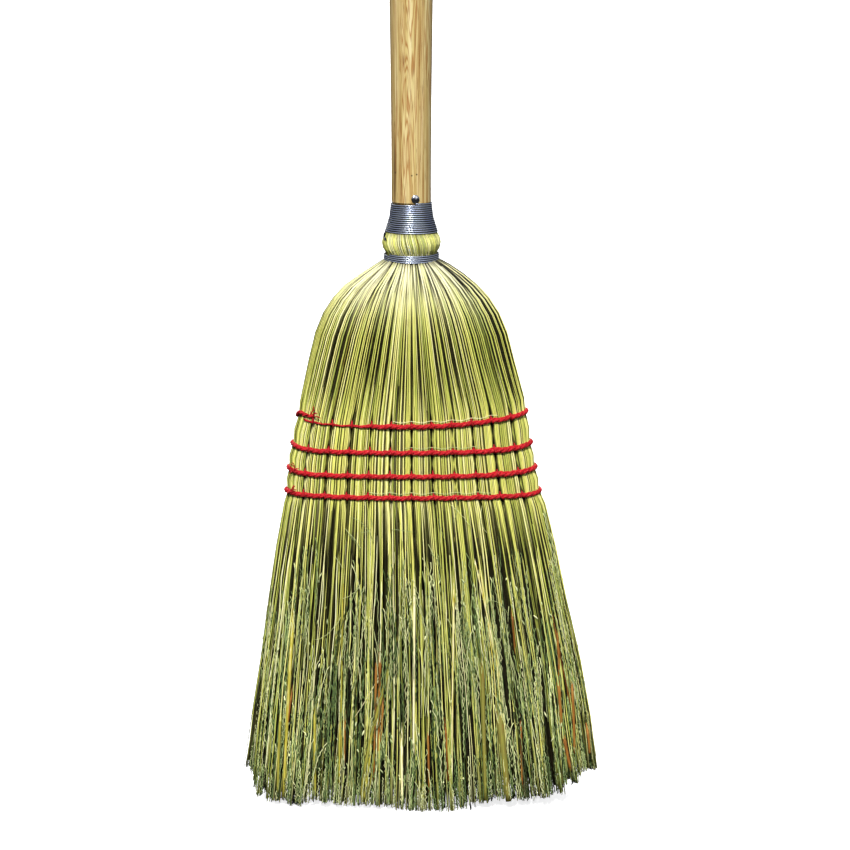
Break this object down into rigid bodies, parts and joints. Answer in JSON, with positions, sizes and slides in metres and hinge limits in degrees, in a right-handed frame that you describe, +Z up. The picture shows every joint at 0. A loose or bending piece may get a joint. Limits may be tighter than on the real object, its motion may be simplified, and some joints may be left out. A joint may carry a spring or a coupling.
{
  "type": "corn broom",
  "caption": "Upright broom: turned wooden handle, wire-bound neck and a flat fan of broom corn sewn with red twine, for sweeping floors.",
  "frame": {"origin": "the point on the handle's axis at the level of the bristle tips", "axes": "+Z up along the handle, +X across the width of the head, +Y through its depth towards the back"},
  "size_m": [0.2432, 0.0688, 1.4],
  "materials": {
    "handle_wood": "satin lacquer",
    "nail_steel": "bright",
    "binding_wire": "galvanised",
    "hurl_corn": "dry straw",
    "inside_corn": "dry straw",
    "sewing_twine": "twisted twine"
  },
  "bodies": {
    "root": {"handle": "handle_wood", "wire_nail": "nail_steel", "inside_corn": "inside_corn", "upper_winding": "binding_wire", "lower_winding": "binding_wire", "wire_crossover": "binding_wire", "inner_winding": "binding_wire", "front_lock_01": "hurl_corn", "front_lock_02": "hurl_corn", "front_lock_03": "hurl_corn", "front_lock_04": "hurl_corn", "front_lock_05": "hurl_corn", "front_lock_06": "hurl_corn", "front_lock_07": "hurl_corn", "front_lock_08": "hurl_corn", "front_lock_09": "hurl_corn", "front_lock_10": "hurl_corn", "back_lock_01": "hurl_corn", "back_lock_02": "hurl_corn", "back_lock_03": "hurl_corn", "back_lock_04": "hurl_corn", "back_lock_05": "hurl_corn", "back_lock_06": "hurl_corn", "back_lock_07": "hurl_corn", "back_lock_08": "hurl_corn", "back_lock_09": "hurl_corn", "back_lock_10": "hurl_corn", "left_shoulder": "hurl_corn", "right_shoulder": "hurl_corn", "row_1_band": "sewing_twine", "row_2_band": "sewing_twine", "row_3_band": "sewing_twine", "row_4_band": "sewing_twine", "row_1_stitches": "sewing_twine", "row_2_stitches": "sewing_twine", "row_3_stitches": "sewing_twine", "row_4_stitches": "sewing_twine"}
  },
  "joints": []
}
